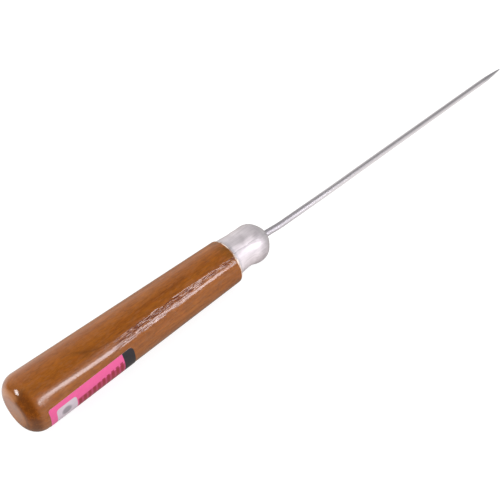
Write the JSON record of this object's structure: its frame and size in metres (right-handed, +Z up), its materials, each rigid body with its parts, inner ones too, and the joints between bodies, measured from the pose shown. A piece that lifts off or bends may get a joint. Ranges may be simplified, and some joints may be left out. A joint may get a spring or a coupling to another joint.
{
  "type": "scratch awl",
  "caption": "Leatherworker's scratch awl: tapered hardwood handle with a rounded butt, aluminium ferrule with a domed nose, and a long slender round steel blade.",
  "frame": {"origin": "centre of the flat face on the handle's butt", "axes": "+X along the tool's axis from butt to point; +Z up with the tool lying on its side, the label on the -Y side; +Y completes the right-handed frame"},
  "size_m": [0.248, 0.0221, 0.022],
  "materials": {
    "varnished_wood": "stained orange-brown hardwood with open pores under gloss varnish",
    "turned_aluminium": "turned and lightly polished",
    "ground_steel": "drawn rod, polished along its length",
    "label_film": "pink printed film with a charcoal end band, a pale panel with a plain grey spot, and plain dark bars",
    "cured_adhesive": "cured amber epoxy"
  },
  "bodies": {
    "root": {"handle": "varnished_wood", "ferrule": "turned_aluminium", "blade": "ground_steel", "label": "label_film", "tang_adhesive": "cured_adhesive"}
  },
  "joints": []
}
